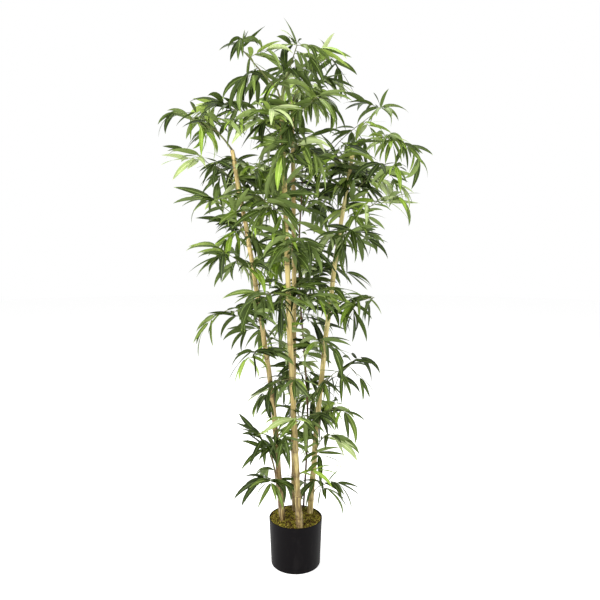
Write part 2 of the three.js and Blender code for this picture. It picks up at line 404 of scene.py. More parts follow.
def cornersOf(nodeName):
    return np.array([vertex.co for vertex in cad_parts[nodeName].data.vertices])


def limbSpine(nodeName, count):
    # centre line and radius of a limb, read from its solid in slices across its length
    points = cornersOf(nodeName)
    edges = np.array([edge.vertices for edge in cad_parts[nodeName].data.edges])
    axis = np.linalg.svd(points - points.mean(0), full_matrices=False)[2][0]
    along = points @ axis
    if np.linalg.norm(points[along.argmin()]) > np.linalg.norm(points[along.argmax()]):
        axis, along = -axis, -along
    centres, radii = [], []
    for level in np.linspace(along.min(), along.max(), count + 2)[1:-1]:
        crossing = edges[(along[edges[:, 0]] - level) * (along[edges[:, 1]] - level) < 0]
        a, b = points[crossing[:, 0]], points[crossing[:, 1]]
        share = ((level - a @ axis) / ((b - a) @ axis))[:, None]
        cut = a + (b - a) * share
        centre = (cut.min(0) + cut.max(0)) / 2
        centres.append(centre)
        radii.append(np.linalg.norm(cut - centre, axis=1).mean())
    centres = np.array(centres)
    first, last = centres[1] - centres[0], centres[-1] - centres[-2]
    start = centres[0] - first * (centres[0] @ axis - along.min()) / (first @ axis)
    end = centres[-1] + last * (along.max() - centres[-1] @ axis) / (last @ axis)
    return np.vstack([start, centres, end]), np.array([radii[0], *radii, radii[-1]])


makeCamera()
makeLamps()
makeSky()
makeFloor()
bpy.context.scene.view_settings.view_transform = "Standard"
print("camera, lamps and floor ready")


# pot

potSetup = {
    "sides": 128,
    "wall": 2.2 * millimetre,
    "heel": 4.0 * millimetre,  # rounding at the foot
    "lipRound": 1.0 * millimetre,
    "footShare": 0.925,  # foot radius over rim radius
    "innerLip": 0.8 * millimetre,
    "wallBands": 14,
    "recess": 1.5 * millimetre,
    "standEdge": ((12, 1.5), (10, 0.4), (9.4, 0)),  # mm in from the foot and up from the floor
    "innerDrops": (4, 12, 30),  # mm below the rim
    "base": 3.0 * millimetre,
    "colour": paint(11, 9, 11),
    "dustColour": paint(23, 21, 22),
}


def turned(profile, sides):
    # a closed ring of faces from an outline that starts and ends on the axis
    vertices, faces = [(0, 0, profile[0][1])], []
    angles = [k * math.tau / sides for k in range(sides)]
    for radius, height in profile[1:-1]:
        vertices.extend((radius * math.cos(a), radius * math.sin(a), height) for a in angles)
    vertices.append((0, 0, profile[-1][1]))
    for k in range(sides):
        following = (k + 1) % sides
        faces.append([0, 1 + following, 1 + k])
        for ring in range(len(profile) - 3):
            low = 1 + ring * sides
            faces.append([low + k, low + following, low + sides + following, low + sides + k])
        high = 1 + (len(profile) - 3) * sides
        faces.append([high + k, high + following, len(vertices) - 1])
    return vertices, faces


def arcPoints(centre, radius, start, end, count):
    # points of an arc in the plane of an outline; angles in degrees
    angles = np.radians(np.linspace(start, end, count))
    return [(centre[0] + radius * math.cos(a), centre[1] + radius * math.sin(a)) for a in angles]


def makePot():
    low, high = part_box("pot")
    rim = (high.x - low.x) / 2
    foot = rim * potSetup["footShare"]
    wall, heel, lip = potSetup["wall"], potSetup["heel"], potSetup["lipRound"]
    slope = (rim - foot) / (high.z - heel)

    def wallRadius(height):
        return foot + slope * (height - heel)

    # up the outside from the recess below, over the lip, and down the inside
    base, inLip = potSetup["base"], potSetup["innerLip"]
    profile = [(0, potSetup["recess"])]
    profile += [(foot - inward * millimetre, up * millimetre) for inward, up in potSetup["standEdge"]]
    profile += arcPoints((foot - heel, heel), heel, -90, 0, 7)
    levels = np.linspace(heel, high.z - 3 * lip, potSetup["wallBands"])[1:]
    profile += [(wallRadius(z), z) for z in levels]
    profile += arcPoints((rim - lip, high.z - lip), lip, 0, 90, 6)
    inner = rim - wall
    profile += arcPoints((inner + inLip, high.z - inLip), inLip, 90, 180, 5)
    drops = [drop * millimetre for drop in potSetup["innerDrops"]]
    drops += [high.z * 0.55, high.z - base - millimetre]
    profile += [(inner - slope * drop, high.z - drop) for drop in drops]
    profile += [(foot - wall - base, base + 0.2 * millimetre), (0, base)]
    vertices, faces = turned(profile, potSetup["sides"])
    plastic = mottled(
        "satinPlastic", 0.46, 0.05, potSetup["colour"], potSetup["dustColour"],
        ((1, 1, 0.35), 38.0, 0.66, 0.16), (0.35, 0.0004, 1400.0, 160.0, 0.35), (0.38, 0.56),
    )
    piece = makePiece("pot_body", vertices, faces, [plastic])
    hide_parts("pot")


def dressFill():
    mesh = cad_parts["fill"].data
    mesh.materials.clear()
    mesh.materials.append(mottled(
        "setCement", 0.95, 0.2, paint(132, 128, 118), paint(98, 94, 86),
        ((1, 1, 1), 45.0, 0.5, 0.18), (0.6, 0.001, 700.0, 120.0),
    ))


makePot()
dressFill()
print("pot ready")


# moss

mossSetup = {
    "rings": 30,
    "sides": 96,
    "crownHeight": 8 * millimetre,
    "rimInset": 2 * millimetre,
    "lump": 3.2 * millimetre,
    "lumps": ((45, 3.1, 1.0), (170, 8.7, 0.45)),  # scale, start and share of the lump
    "crumbs": 4200,
    "crumbSize": (1.2 * millimetre, 3.4 * millimetre),
    "crumbStretch": ((0.7, 1.3), (0.7, 1.3), (0.5, 0.9)),
    "crumbLumps": (0.72, 1.22),
    "crumbRise": (-0.1, 0.9),  # over its own size
    "strands": 1900,
    "strandInset": 7 * millimetre,
    "strandLength": (7 * millimetre, 19 * millimetre),
    "strandPoints": 5,
    "strandLift": (0.2, 2.6),  # mm above the mound
    "strandTurn": 1.1,  # radians at most at each point
    "strandRadius": 0.36 * millimetre,
    "strandThick": (0.7, 1.4),
    "strandTaper": (0.6, 1, 1, 0.9, 0.4),
    "seed": 41,
}

mossColours = {
    # kind: light, dark, share
    "green": (paint(140, 134, 44), paint(84, 80, 18), 0.36),
    "olive": (paint(184, 166, 80), paint(112, 98, 34), 0.24),
    "brown": (paint(86, 64, 28), paint(32, 24, 10), 0.40),
}
peatColours = (paint(50, 42, 18), paint(22, 17, 8))


def mossMaterial(kind, light, dark):
    return mottled(
        "moss" + kind.capitalize(), 0.92, 0.15, light, dark,
        ((1, 1, 1), 260.0, 0.5, 0.16), (0.8, 0.0008, 1600.0, 500.0),
    )


def mossHeight(x, y, radius, top):
    across = min(1.0, math.hypot(x, y) / radius)
    mound = top - mossSetup["crownHeight"] * across ** 2
    for scale, start, share in mossSetup["lumps"]:
        mound += noise.noise((x * scale, y * scale, start)) * mossSetup["lump"] * share
    return mound


def crumbShape():
    # a small lumpy ball of twenty faces
    golden = (1 + 5 ** 0.5) / 2
    corners = [(-1, golden, 0), (1, golden, 0), (-1, -golden, 0), (1, -golden, 0)]
    corners += [(z, x, y) for x, y, z in corners] + [(y, z, x) for x, y, z in corners]
    corners = unit(corners)
    faces = []
    near = 1.06  # a little over the length of a side
    for i, j, k in combinations(range(12), 3):
        a, b, c = corners[[i, j, k]]
        if max(np.linalg.norm(side) for side in (a - b, b - c, c - a)) < near:
            faces.append([i, j, k] if np.cross(b - a, c - a).dot(a) > 0 else [i, k, j])
    return corners, faces


def anywhere(rng, reach):
    # a point of a round bed
    out = reach * math.sqrt(rng.random())
    angle = rng.uniform(0, math.tau)
    return out * math.cos(angle), out * math.sin(angle)


def makeMoss():
    rng = random.Random(mossSetup["seed"])
    low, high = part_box("moss_bed")
    radius = (high.x - low.x) / 2
    top = high.z
    inset = radius - mossSetup["rimInset"]
    rings = [(radius * (1 - k / mossSetup["rings"]), 0.0) for k in range(mossSetup["rings"])]
    vertices, faces = turned([(0, low.z), (inset, low.z), *rings, (0, 0)], mossSetup["sides"])
    underside = 1 + mossSetup["sides"]
    for i in range(underside, len(vertices)):
        x, y, _ = vertices[i]
        vertices[i] = (x, y, mossHeight(x, y, radius, top))
    kinds = {kind: mossMaterial(kind, light, dark) for kind, (light, dark, _) in mossColours.items()}
    peat = mossMaterial("peat", *peatColours)
    mound = makePiece("moss_mound", vertices, faces, [peat])
    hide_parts("moss_bed")

    heaps = {kind: newHeap() for kind in kinds}
    shares = [mossColours[kind][2] for kind in kinds]
    corners, crumbFaces = crumbShape()
    for _ in range(mossSetup["crumbs"]):
        kind = rng.choices(list(kinds), shares)[0]
        x, y = anywhere(rng, inset)
        size = rng.uniform(*mossSetup["crumbSize"])
        stretch = np.array([rng.uniform(*spread) for spread in mossSetup["crumbStretch"]])
        lumps = np.array([[rng.uniform(*mossSetup["crumbLumps"])] for _ in corners])
        z = mossHeight(x, y, radius, top) + rng.uniform(*mossSetup["crumbRise"]) * size
        pile(heaps[kind], corners * lumps * stretch * size + (x, y, z), crumbFaces)
    for _ in range(mossSetup["strands"]):
        kind = rng.choices(list(kinds), shares)[0]
        place = np.array([*anywhere(rng, radius - mossSetup["strandInset"]), 0.0])
        heading = rng.uniform(0, math.tau)
        length = rng.uniform(*mossSetup["strandLength"])
        path = []
        points = mossSetup["strandPoints"]
        for _ in range(points):
            lift = rng.uniform(*mossSetup["strandLift"]) * millimetre
            place[:2] *= min(1.0, inset / max(1e-6, math.hypot(place[0], place[1])))
            path.append((place[0], place[1], mossHeight(place[0], place[1], radius, top) + lift))
            place = place + np.array([math.cos(heading), math.sin(heading), 0]) * length / (points - 1)
            heading += rng.uniform(-mossSetup["strandTurn"], mossSetup["strandTurn"])
        thick = mossSetup["strandRadius"] * rng.uniform(*mossSetup["strandThick"])
        strand, strandFaces = tube(path, np.array(mossSetup["strandTaper"]) * thick, 3)
        pile(heaps[kind], strand, strandFaces)
    for kind, heap in heaps.items():
        piece = makePiece("moss_" + kind, heap["vertices"], heap["faces"], [kinds[kind]], smooth=False)
        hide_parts("moss_bed")


makeMoss()
print("moss ready")


# canes

caneSetup = {
    "sides": 20,
    "firstNode": 26 * millimetre,
    "shortSpan": 58 * millimetre,  # between nodes at the foot
    "longSpan": 128 * millimetre,  # and higher up
    "spanGrowth": 15 * millimetre,
    "ridge": 0.95 * millimetre,
    "groove": 0.5 * millimetre,
    "swelling": 0.055,
    # middle and width, in mm along the cane, of what lies at a node
    "ridgeSpread": (0.9, 1.3),
    "grooveSpread": (-1.9, 0.8),
    "swellingSpread": (0, 7),
    "scarSpread": (-1.2, 2.0),
    "bloomSpread": (4, 5.0),
    "bloomShade": 0.45,
    "bend": 1.5 * millimetre,  # sideways step of the line at a node
    "uneven": 0.35 * millimetre,
    "roughScale": (1.3, 22),  # of that unevenness, round the cane and along it
    "usualRadius": 8.5 * millimetre,  # the sizes above are for a cane of this radius
    "thinBelow": 6 * millimetre,  # a cane thinner than this has its nodes closer
    "thinSpan": 0.8,
    "spanSpread": (0.88, 1.12),
    "ringsNear": (0.8, 1.6, 2.6, 4, 6, 9),  # mm to both sides of a node
    "ringsApart": 22 * millimetre,
    "footDarkHeight": 0.7,  # metres up to which the cane grows darker and browner towards its foot
    "gnarled": ("cane_front",),  # these have crowded root nodes at the foot
    "gnarlSpan": 15 * millimetre,
    "gnarlSpread": (0.75, 1.2),
    "gnarlCount": 4,
    "gnarlKnob": 2.0,
    "stubs": 2,
    "stubRise": (0.3, 0.9),
    "stubReach": (1.5, 4.5),  # mm
    "stubThick": (1.3, 2.3),  # mm
    "seed": 11,
}

caneColours = {
    # light and dark streaks, the brown that the cane darkens to towards its foot, and the scars
    "cane_left": ((218, 198, 136), (128, 98, 50), (74, 52, 20), (62, 40, 18)),
    "cane_front": ((212, 194, 128), (156, 132, 74), (80, 62, 30), (76, 54, 28)),
    "cane_back": ((208, 188, 128), (150, 124, 72), (92, 70, 36), (72, 50, 26)),
    "cane_right": ((240, 226, 160), (196, 176, 106), (124, 104, 52), (82, 62, 32)),
    "cane_slim": ((128, 88, 54), (78, 50, 32), (50, 34, 22), (44, 30, 20)),
    "stem_left": ((172, 158, 124), (128, 112, 82), (118, 98, 66), (88, 72, 50)),
}


def brokenUp(tree, shade, tone, share, rest):
    # a shade that a tone's patches break up
    patches = mathNode(tree, "MULTIPLY", tone.outputs["Mask"], share)
    return mathNode(tree, "MULTIPLY", shade, mathNode(tree, "ADD", patches, rest))


def caneMaterial(name, light, dark, footBrown, scar):
    material, tree, shader = newMaterial(name + "_skin", roughness=0.5, specular=0.4)
    streaks = toneNode(tree, light, dark, (1, 1, 0.05), 180.0, 0.54, 0.1)
    patches = toneNode(tree, (1, 1, 1, 1), (0.64, 0.59, 0.46, 1), (1, 1, 0.35), 26.0, 0.56, 0.12)
    skinTone = blendNode(tree, 0.85, streaks.outputs["Color"], patches.outputs["Color"], "MULTIPLY")
    # the cane grows darker and browner towards its foot, in broken patches
    foot = meshValue(tree, "footShade")
    footPatches = toneNode(tree, (0, 0, 0, 1), (1, 1, 1, 1), (1, 1, 0.2), 120.0, 0.47, 0.1)
    skinTone = blendNode(tree, brokenUp(tree, foot, footPatches, 0.7, 0.24), skinTone, footBrown)
    shade = meshValue(tree, "scarShade")
    speckle = toneNode(tree, (0, 0, 0, 1), (1, 1, 1, 1), (1, 1, 0.6), 420.0, 0.5, 0.22)
    scarred = blendNode(tree, brokenUp(tree, shade, speckle, 0.55, 0.45), skinTone, scar)
    tree.links.new(scarred, shader.inputs["Base Color"])
    grain = addBump(tree, shader, 0.35, 0.0006, 800.0, 260.0, 0.4, (1, 1, 0.12))
    addRoughness(tree, shader, grain, 0.4, 0.66)
    return material


def nodeDistances(length, thin, gnarled, rng):
    # where the nodes come along a cane
    spots, at = [], caneSetup["firstNode"]
    for _ in range(caneSetup["gnarlCount"] if gnarled else 0):
        spots.append(at)
        at += caneSetup["gnarlSpan"] * rng.uniform(*caneSetup["gnarlSpread"])
    span = caneSetup["shortSpan"]
    while at < length - 20 * millimetre:
        spots.append(at)
        at += span * rng.uniform(*caneSetup["spanSpread"]) * thin
        span = min(caneSetup["longSpan"], span + caneSetup["spanGrowth"])
    return spots


def ringDistances(length, spots):
    # rings close together at the nodes and sparse between them
    beside = np.array(caneSetup["ringsNear"])
    near = np.array([*-beside[::-1], 0, *beside]) * millimetre
    rings = {0.0, length}
    for spot in spots:
        rings.update(float(d) for d in spot + near if 0 < d < length)
    marks = sorted(rings)
    for a, b in zip(marks, marks[1:]):
        parts = int((b - a) / caneSetup["ringsApart"])
        rings.update(a + (b - a) * k / (parts + 1) for k in range(1, parts + 1))
    return np.array(sorted(rings))


def caneRoughness(distances, index):
    # gentle unevenness round a cane, another for each cane
    angles = np.arange(caneSetup["sides"]) * math.tau / caneSetup["sides"]
    across, along = caneSetup["roughScale"]
    return np.array([
        [noise.noise((math.cos(a) * across + index * 7, math.sin(a) * across, d * along)) for a in angles]
        for d in distances
    ])


def bulge(away, spread):
    # a smooth rise, 1 at its middle
    middle, width = spread
    return np.exp(-((away - middle) / width) ** 2)


def makeCane(name, index):
    rng = random.Random(caneSetup["seed"] + index)
    sides = caneSetup["sides"]
    centres, radii = limbSpine(name, 18)
    dense = resample(centres, 400)
    lengths = np.concatenate([[0], np.cumsum(np.linalg.norm(np.diff(dense, axis=0), axis=1))])
    length = lengths[-1]
    thin = 1.0 if radii[0] > caneSetup["thinBelow"] else caneSetup["thinSpan"]
    gnarled = name in caneSetup["gnarled"]
    spots = nodeDistances(length, thin, gnarled, rng)
    at = ringDistances(length, spots)
    path = np.column_stack([np.interp(at, lengths, dense[:, k]) for k in range(3)])
    small = radii.mean() / caneSetup["usualRadius"]

    # the line steps a little to one side at each node, and back at the next
    turns = [rng.uniform(0, math.tau) for _ in spots]
    for k, spot in enumerate(spots):
        following = spots[k + 1] if k + 1 < len(spots) else length
        share = np.clip((at - spot) / max(following - spot, 1e-6), 0, 1)
        swing = np.sin(share * math.pi) * caneSetup["bend"] * small
        path[:, 0] += swing * math.cos(turns[k])
        path[:, 1] += swing * math.sin(turns[k])

    taper = np.linspace(radii[0], radii[-1], len(radii))
    base = np.interp(at, np.linspace(0, length, len(radii)), taper)
    shade = np.zeros(len(at))
    for k, spot in enumerate(spots):
        away = (at - spot) / millimetre
        knob = caneSetup["gnarlKnob"] if gnarled and k < caneSetup["gnarlCount"] else 1.0
        base *= 1 + caneSetup["swelling"] * knob * bulge(away, caneSetup["swellingSpread"])
        base += caneSetup["ridge"] * knob * small * bulge(away, caneSetup["ridgeSpread"])
        base -= caneSetup["groove"] * small * bulge(away, caneSetup["grooveSpread"])
        bloom = caneSetup["bloomShade"] * bulge(away, caneSetup["bloomSpread"]) * (away > 0)
        shade = np.maximum.reduce([shade, bulge(away, caneSetup["scarSpread"]), bloom])
    heap = newHeap()
    rough = caneRoughness(at, index) * caneSetup["uneven"] * small
    vertices, faces = tube(path, base[:, None] + rough, sides)
    cutShade = 0.6  # both sawn ends are darker
    pile(heap, vertices, faces, [*np.repeat(shade, sides), cutShade, cutShade])

    # short stubs where twigs were cut off
    for spot in spots:
        i = int(np.abs(at - spot).argmin())
        for _ in range(rng.randrange(caneSetup["stubs"] + 1)):
            angle = rng.uniform(0, math.tau)
            out = np.array([math.cos(angle), math.sin(angle), rng.uniform(*caneSetup["stubRise"])])
            reach = base[i] + rng.uniform(*caneSetup["stubReach"]) * millimetre * small
            start, end = path[i] + out * base[i] * 0.6, path[i] + out * reach
            thick = rng.uniform(*caneSetup["stubThick"]) * millimetre * small
            taper = np.array([1.3, 1.0, 0.85]) * thick
            stub, stubFaces = tube([start, (start + end) / 2, end], taper, 8)
            pile(heap, stub, stubFaces, [0.5] * len(stub))
    heights = np.array(heap["vertices"])[:, 2] - path[0][2]
    footShade = np.clip(1 - heights / caneSetup["footDarkHeight"], 0, 1) ** 0.5
    values = {"scarShade": heap["shades"], "footShade": footShade}
    skin = caneMaterial(name, *[paint(*colour) for colour in caneColours[name]])
    piece = makePiece(name + "_relief", heap["vertices"], heap["faces"], [skin], values=values)
    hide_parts(name)
    nodePlaces = np.column_stack([np.interp(spots, lengths, dense[:, k]) for k in range(3)])
    return {"line": dense, "nodes": nodePlaces}


canes = {name: makeCane(name, index) for index, name in enumerate(caneColours)}
print("canes ready:", ", ".join(canes))


# foliage

sprayRule = {
    "seed": 2026,
    "climb": 0.75,  # how far below its hub a twig leaves the cane, for each unit out
    "twigRadius": (1.9 * millimetre, 1.0 * millimetre),
    "sideRadius": (0.95 * millimetre, 0.55 * millimetre),
    "lobes": 7,
    "lobesBack": 9,  # the masses at the back are fewer and wider
    "backFrom": 0.12,  # metres
    "lobeGap": 0.42,  # radians between two side twigs
    "shortestLobe": 0.4,  # over the longest of its mass
    "furthestMiss": 30 * millimetre,  # of a cane from where a twig should leave it
    "sideShare": 0.47,  # side twig length over the lobe's
    "leavesEach": (6, 9),
    "leavesLow": (5, 7),  # on the sparse sprays near the foot
    "lowBelow": 0.95,  # metres
    "lobesLow": 4,
    "lowShade": 2.6,  # how much likelier the dark kinds are down there, as painted shade low in the plant
    "innerShade": 3.0,  # and on the sprays close to a cane, as painted shade inside the foliage
    "strayKind": 0.3,  # how often a leaf differs from its spray
    "innerChance": 0.8,
    "innerLeaves": (4, 6),
    "innerAbove": 0.3,  # metres
    "innerLength": (45, 100),  # mm
    "innerPitch": (10, 60),  # degrees
    "twiceAbove": 0.85,  # metres; higher nodes carry two inner sprays
    "boxMargin": 10 * millimetre,
    "leastLeaf": 0.3,  # how small a leaf may be drawn in at that margin
    "headroom": 28 * millimetre,  # how far a leaf may stand above its mass
    "headroomTop": 6 * millimetre,  # and above one that ends in upright leaves
    "hubBelow": 0.26,  # hub under the top of its mass, over the mass's reach
    "hubBelowTop": 0.58,
    "lobeLength": (0.8, 1.2),
    "lobePitch": (-18, 55),  # degrees
    "lobePitchTop": (-18, 30),
    "lobeFrom": 0.3,  # how far along the main twig the first side twigs start
    "lobeOver": 0.65,
    "lobeTurn": 0.2,  # radians to either side
}

twigShape = {
    "boughSunk": 6 * millimetre,  # how far a bough starts inside its cane
    "boughTip": 1.3 * millimetre,
    "boughPoints": 22,
    "boughSides": 10,
    "knot": 0.16,
    "knotEvery": 6,  # points
    "points": 14,
    "sides": 6,
    "rootSwelling": (1.8, 1.25),
    "bendAt": 0.42,
    "arch": 0.16,
    "wander": 9 * millimetre,
}

sprayShape = {
    "drop": (12, 48),  # degrees, as all the angles here
    "sway": (-25, 25),
    "spread": (26, 70),
    "fanSpread": (16, 46),
    "leafPitch": (-42, 26),
    "fan": 3,  # leaves at the end
    "pairs": (0.12, 0.82),  # where the others start, and how far they reach
    "pairSize": 0.88,
    "points": 6,
    "sides": 5,
}

leafShape = {
    "length": (74 * millimetre, 122 * millimetre),
    "slimness": (0.148, 0.2),  # width over length
    "stations": (0.0, 0.035, 0.075, 0.14, 0.24, 0.38, 0.54, 0.7, 0.83, 0.93, 1.0),
    "paleEnd": 0.93,  # the tip beyond this has the rib's colour
    "across": (-1.0, -0.55, -0.1, 0.1, 0.55, 1.0),
    "stalk": 0.55 * millimetre,
    "tip": 0.16 * millimetre,
    "fold": (8, 20),  # degrees
    "bend": (6, 88, 30),  # least, most and usual
    "pressed": 0.4,  # how far the leaves are drawn round towards the two sides
    "turn": (-18, 18),
    "roll": (-72, 72),
    "twist": (-35, 35),
    "bendPower": 1.25,  # above 1 the bend comes more towards the tip
    "ribSink": 0.35,
    "toneSpread": (1.28, 0.78),  # of the upper side's colour
    "veinShade": 0.22,
}

leafKinds = {
    # kind: upper side, under side, rib, share of the sprays
    "deep": (paint(28, 41, 4), paint(68, 84, 34), paint(88, 106, 50), 0.23),
    "dark": (paint(45, 60, 9), paint(88, 106, 50), paint(112, 132, 66), 0.35),
    "mid": (paint(82, 102, 32), paint(118, 136, 74), paint(146, 164, 88), 0.25),
    # the fresh and pale kinds are partly the leaves' own lighter greens and partly painted light shining
    # through them
    "fresh": (paint(120, 150, 44), paint(146, 168, 80), paint(170, 190, 96), 0.08),
    "pale": (paint(154, 172, 108), paint(174, 188, 132), paint(198, 208, 154), 0.09),
}
kindNames = list(leafKinds)
darkKinds = ("deep", "dark")

uprightShape = {
    "spread": 55,  # degrees to either side of the front or the back
    "pitch": (44, 84),
    "size": 0.8,
    "bend": (8, 60, 25),
}

uprightLeaves = {
    "foliage_top_left": 3,
    "foliage_top_middle": 5,
    "foliage_top_right": 2,
    "foliage_top_back": 5,
    "foliage_upper_right": 2,
}


def leafMaterial(name, upper, under, roughness):
    material, tree, shader = newMaterial(name, roughness=roughness, specular=0.18)
    lines = putNode(tree, "Group", {"node_tree": leafVeins}, {"Count": 8.0, "Wander": 0.5})
    veins = lines.outputs["Mask"]
    tones = [[min(1.0, part * f) for part in upper[:3]] + [1.0] for f in leafShape["toneSpread"]]
    tone = toneNode(tree, *tones, (1, 1, 1), 26.0, 0.5, 0.2)
    faint = mathNode(tree, "MULTIPLY", veins, leafShape["veinShade"])
    lined = blendNode(tree, faint, tone.outputs["Color"], under)
    side = putNode(tree, "NewGeometry").outputs["Backfacing"]
    tree.links.new(blendNode(tree, side, lined, under), shader.inputs["Base Color"])
    bump = putNode(tree, "Bump", None, {
        "Strength": 0.25, "Distance": 0.3 * millimetre, "Height": veins,
    })
    tree.links.new(bump.outputs["Normal"], shader.inputs["Normal"])
    addRoughness(tree, shader, tone.outputs["Mask"], roughness - 0.06, roughness + 0.1)
    return material


def widthProfile(along):
    # half width along a leaf, 1 at its broadest
    shape = np.clip(along - 0.03, 0, 1) ** 0.5 * np.clip(1 - along, 0, 1) ** 0.95
    return shape / shape.max()


def direct(azimuth, pitch):
    flat = math.cos(pitch)
    return np.array([math.cos(azimuth) * flat, math.sin(azimuth) * flat, math.sin(pitch)])


def anyAngle(rng, degrees):
    return math.radians(rng.uniform(*degrees))


def archPath(start, azimuth, pitch, drop, length, count, sway):
    # a twig's line that sets out at a pitch and bends down along its length
    path = [np.array(start, float)]
    steps = count - 1
    for k in range(steps):
        share = (k + 0.5) / steps
        ahead = direct(azimuth + sway * share, pitch - drop * share)
        path.append(path[-1] + ahead * length / steps)
    return np.array(path)


leafRows = {kind: [] for kind in kindNames}
twigHeap = newHeap()
boughHeap = newHeap()


def sprayKind(rng, shade=1.0):
    # shade is how much likelier the two dark kinds are than usual; the extra dark leaves are painted
    # shade
    weights = [leafKinds[kind][3] * (shade if kind in darkKinds else 1) for kind in kindNames]
    return rng.choices(kindNames, weights)[0]


def pickKind(rng, spray):
    if rng.random() > sprayRule["strayKind"]:
        return spray
    place = kindNames.index(spray) + rng.choice((-1, 1))
    return kindNames[min(max(place, 0), len(kindNames) - 1)]


def addLeaf(rng, kind, place, azimuth, pitch, size, bend=leafShape["bend"]):
    row = {
        "place": place,
        "azimuth": azimuth - leafShape["pressed"] / 2 * math.sin(2 * azimuth),
        "pitch": pitch,
        "length": rng.uniform(*leafShape["length"]) * size,
        "slimness": rng.uniform(*leafShape["slimness"]),
        "bend": math.radians(rng.triangular(*bend)),
        "turn": anyAngle(rng, leafShape["turn"]),
        "roll": anyAngle(rng, leafShape["roll"]),
        "twist": anyAngle(rng, leafShape["twist"]),
        "fold": anyAngle(rng, leafShape["fold"]),
    }
    leafRows[pickKind(rng, kind)].append(row)


def addSpray(rng, start, azimuth, pitch, length, leaves, kind, ceiling=math.inf):
    # one side twig with leaves in turn to the left and right, and a fan at its end
    drop = anyAngle(rng, sprayShape["drop"])
    sway = anyAngle(rng, sprayShape["sway"])
    path = archPath(start, azimuth, pitch, drop, length, sprayShape["points"], sway)
    thick = np.linspace(*sprayRule["sideRadius"], len(path))
    vertices, faces = tube(path, thick, sprayShape["sides"])
    pile(twigHeap, vertices, faces)
    side = rng.choice((-1, 1))
    before = leaves - sprayShape["fan"]
    pairsFrom, pairsReach = sprayShape["pairs"]
    for k in range(leaves):
        if k < before:
            share = pairsFrom + pairsReach * k / max(1, before)
            spread = side * anyAngle(rng, sprayShape["spread"])
            size = sprayShape["pairSize"]
        else:
            share = 1.0
            spread = (k - leaves + 2) * anyAngle(rng, sprayShape["fanSpread"])
            size = 1.0
        side = -side
        at = share * (len(path) - 1)
        i = min(int(at), len(path) - 2)
        place = path[i] + (path[i + 1] - path[i]) * (at - i)
        leafPitch = pitch - drop * share + anyAngle(rng, sprayShape["leafPitch"])
        steepest = (ceiling - place[2]) / leafShape["length"][1]
        leafPitch = min(leafPitch, math.asin(max(-0.9, min(1.0, steepest))))
        addLeaf(rng, kind, place, azimuth + sway * share + spread, leafPitch, size)


def lobesOf(corners, hub, most):
    # the furthest points of a mass, each in a direction of its own
    out = corners - hub
    flat = np.linalg.norm(out[:, :2], axis=1)
    order = np.argsort(-flat)
    chosen = []
    for i in order:
        angle = math.atan2(out[i, 1], out[i, 0])
        gaps = [abs((angle - other + math.pi) % math.tau - math.pi) for other, _ in chosen]
        clear = all(gap > sprayRule["lobeGap"] for gap in gaps)
        if clear and flat[i] > sprayRule["shortestLobe"] * flat[order[0]]:
            chosen.append((angle, float(np.linalg.norm(out[i]))))
        if len(chosen) == most:
            break
    return chosen


def rootFor(hub):
    # the cane that a mass grows from, and the node its twig leaves
    best = None
    for cane in canes.values():
        line = cane["line"]
        out = np.linalg.norm(line[:, :2] - hub[:2], axis=1)
        miss = np.abs(line[:, 2] - (hub[2] - sprayRule["climb"] * out))
        i = int(miss.argmin())
        if miss[i] < sprayRule["furthestMiss"] and (best is None or out[i] < best[0]):
            best = (out[i], cane["nodes"], line[i])
    if best is None:
        return None
    _, nodes, place = best
    return nodes[np.linalg.norm(nodes - place, axis=1).argmin()]


def mainTwig(nodeName, hub, rng):
    # from the cane, or along the bough that the frame gives, to the hub of a mass
    boughName = nodeName.replace("foliage_", "bough_")
    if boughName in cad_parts:
        spine, radii = limbSpine(boughName, 5)
        sunk = spine[0] + unit(spine[0] - spine[1]) * twigShape["boughSunk"]
        path = resample(np.vstack([sunk, spine[:-1], hub]), twigShape["boughPoints"])
        thick = np.linspace(radii[0], twigShape["boughTip"], len(path))
        places = np.arange(len(path)) % twigShape["knotEvery"]
        knots = 1 + twigShape["knot"] * bulge(places, (1.5, 0.9))
        vertices, faces = tube(path, thick * knots, twigShape["boughSides"])
        pile(boughHeap, vertices, faces)
        return path
    root = rootFor(hub)
    if root is None:
        tips = [cane["line"][-1] for cane in canes.values()]
        root = min(tips, key=lambda tip: np.linalg.norm(tip - hub))
    out = hub - root
    bend = root + out * twigShape["bendAt"]
    bend[2] += twigShape["arch"] * np.linalg.norm(out)
    bend[:2] += np.array([rng.uniform(-1, 1), rng.uniform(-1, 1)]) * twigShape["wander"]
    path = resample([root, bend, hub], twigShape["points"])
    thick = np.linspace(*sprayRule["twigRadius"], len(path))
    thick[:2] *= twigShape["rootSwelling"]
    vertices, faces = tube(path, thick, twigShape["sides"])
    pile(twigHeap, vertices, faces)
    return path


